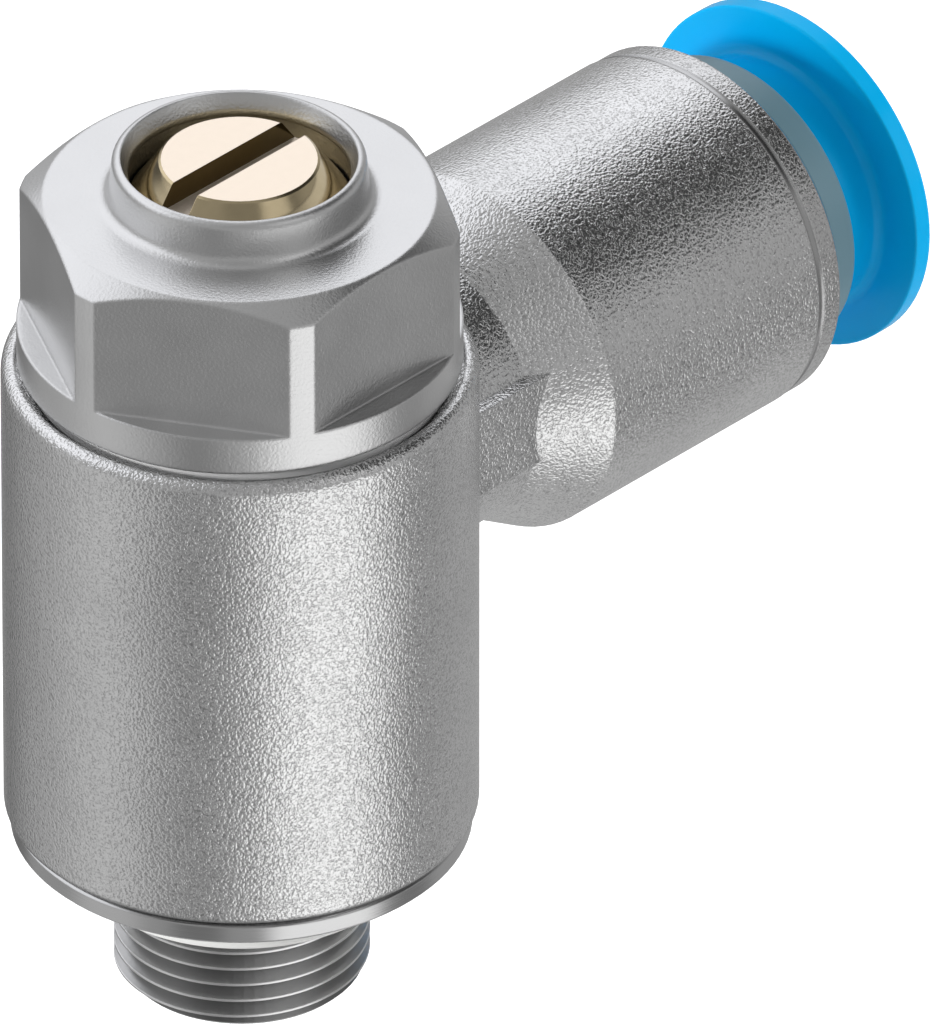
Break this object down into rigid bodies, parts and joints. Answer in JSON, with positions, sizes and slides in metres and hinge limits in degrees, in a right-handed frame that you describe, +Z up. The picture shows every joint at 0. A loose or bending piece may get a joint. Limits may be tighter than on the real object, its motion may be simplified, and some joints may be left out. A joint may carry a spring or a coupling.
{
  "type": "one-way flow control valve",
  "caption": "Banjo one-way flow control valve: swivelling barrel with push-in tube connector, hexagon hollow screw, slotted regulating screw.",
  "frame": {"origin": "on the screw axis at the underside of the seal ring, where it meets the port's face", "axes": "+Z up along the hollow screw, away from the port; +X along the barrel, towards the tube"},
  "size_m": [0.0395, 0.018, 0.0361],
  "materials": {
    "plated_steel_bar": "satin nickel plating on turned brass",
    "bright_disc": "bright turned",
    "seal_white": "matte",
    "seal_rubber": "matte",
    "brass": "satin",
    "cast_housing": "satin nickel plating on a zinc casting",
    "spacer_plastic": "matte",
    "sleeve_plastic": "matte",
    "release_plastic": "gloss",
    "spring_steel": "cold rolled"
  },
  "bodies": {
    "stem": {"hollow_screw": "plated_steel_bar", "retaining_disc": "bright_disc", "port_seal_ring": "seal_white", "lower_stem_o_ring": "seal_rubber", "upper_stem_o_ring": "seal_rubber", "check_lip_seal": "seal_rubber"},
    "screw_lift": {"regulating_screw_o_ring": "seal_rubber"},
    "screw_turn": {"regulating_screw": "brass"},
    "swivel": {"swivel_housing": "cast_housing", "tube_seal_ring": "seal_rubber", "seal_spacer_ring": "spacer_plastic", "retaining_sleeve": "sleeve_plastic"},
    "release": {"release_ring": "release_plastic"},
    "grip_1": {"grip_segment_1": "spring_steel"},
    "grip_2": {"grip_segment_2": "spring_steel"},
    "grip_3": {"grip_segment_3": "spring_steel"},
    "grip_4": {"grip_segment_4": "spring_steel"},
    "grip_5": {"grip_segment_5": "spring_steel"},
    "grip_6": {"grip_segment_6": "spring_steel"},
    "grip_7": {"grip_segment_7": "spring_steel"},
    "grip_8": {"grip_segment_8": "spring_steel"}
  },
  "joints": [
    {"name": "housing_swivel", "type": "hinge", "parent": "stem", "child": "swivel", "pos_m": [0, 0, 0.0168], "axis": [0, 0, 1], "continuous": true},
    {"name": "regulating_lift", "type": "slide", "parent": "stem", "child": "screw_lift", "axis": [0, 0, 1], "range_m": [-0.0032, 0.0008]},
    {"name": "regulating_turn", "type": "hinge", "parent": "screw_lift", "child": "screw_turn", "pos_m": [0, 0, 0.03], "axis": [0, 0, 1], "range_deg": [-2304.5, 576.5]},
    {"name": "release_push", "type": "slide", "parent": "swivel", "child": "release", "axis": [-1, 0, 0], "range_m": [0, 0.0009]},
    {"name": "grip_tilt_1", "type": "hinge", "parent": "swivel", "child": "grip_1", "pos_m": [0.02225, 0.00216, 0.01158], "axis": [0, -0.9239, -0.3827], "range_deg": [0, 17]},
    {"name": "grip_tilt_2", "type": "hinge", "parent": "swivel", "child": "grip_2", "pos_m": [0.02225, 0.00522, 0.01464], "axis": [0, -0.3827, -0.9239], "range_deg": [0, 17]},
    {"name": "grip_tilt_3", "type": "hinge", "parent": "swivel", "child": "grip_3", "pos_m": [0.02225, 0.00522, 0.01896], "axis": [0, 0.3827, -0.9239], "range_deg": [0, 17]},
    {"name": "grip_tilt_4", "type": "hinge", "parent": "swivel", "child": "grip_4", "pos_m": [0.02225, 0.00216, 0.02202], "axis": [0, 0.9239, -0.3827], "range_deg": [0, 17]},
    {"name": "grip_tilt_5", "type": "hinge", "parent": "swivel", "child": "grip_5", "pos_m": [0.02225, -0.00216, 0.02202], "axis": [0, 0.9239, 0.3827], "range_deg": [0, 17]},
    {"name": "grip_tilt_6", "type": "hinge", "parent": "swivel", "child": "grip_6", "pos_m": [0.02225, -0.00522, 0.01896], "axis": [0, 0.3827, 0.9239], "range_deg": [0, 17]},
    {"name": "grip_tilt_7", "type": "hinge", "parent": "swivel", "child": "grip_7", "pos_m": [0.02225, -0.00522, 0.01464], "axis": [0, -0.3827, 0.9239], "range_deg": [0, 17]},
    {"name": "grip_tilt_8", "type": "hinge", "parent": "swivel", "child": "grip_8", "pos_m": [0.02225, -0.00216, 0.01158], "axis": [0, -0.9239, 0.3827], "range_deg": [0, 17]}
  ],
  "couplings": [
    {"joint": "regulating_turn", "follows": "regulating_lift", "rad_per_m": 12566},
    {"joint": "grip_tilt_1", "follows": "release_push", "rad_per_m": 329},
    {"joint": "grip_tilt_2", "follows": "release_push", "rad_per_m": 329},
    {"joint": "grip_tilt_3", "follows": "release_push", "rad_per_m": 329},
    {"joint": "grip_tilt_4", "follows": "release_push", "rad_per_m": 329},
    {"joint": "grip_tilt_5", "follows": "release_push", "rad_per_m": 329},
    {"joint": "grip_tilt_6", "follows": "release_push", "rad_per_m": 329},
    {"joint": "grip_tilt_7", "follows": "release_push", "rad_per_m": 329},
    {"joint": "grip_tilt_8", "follows": "release_push", "rad_per_m": 329}
  ]
}
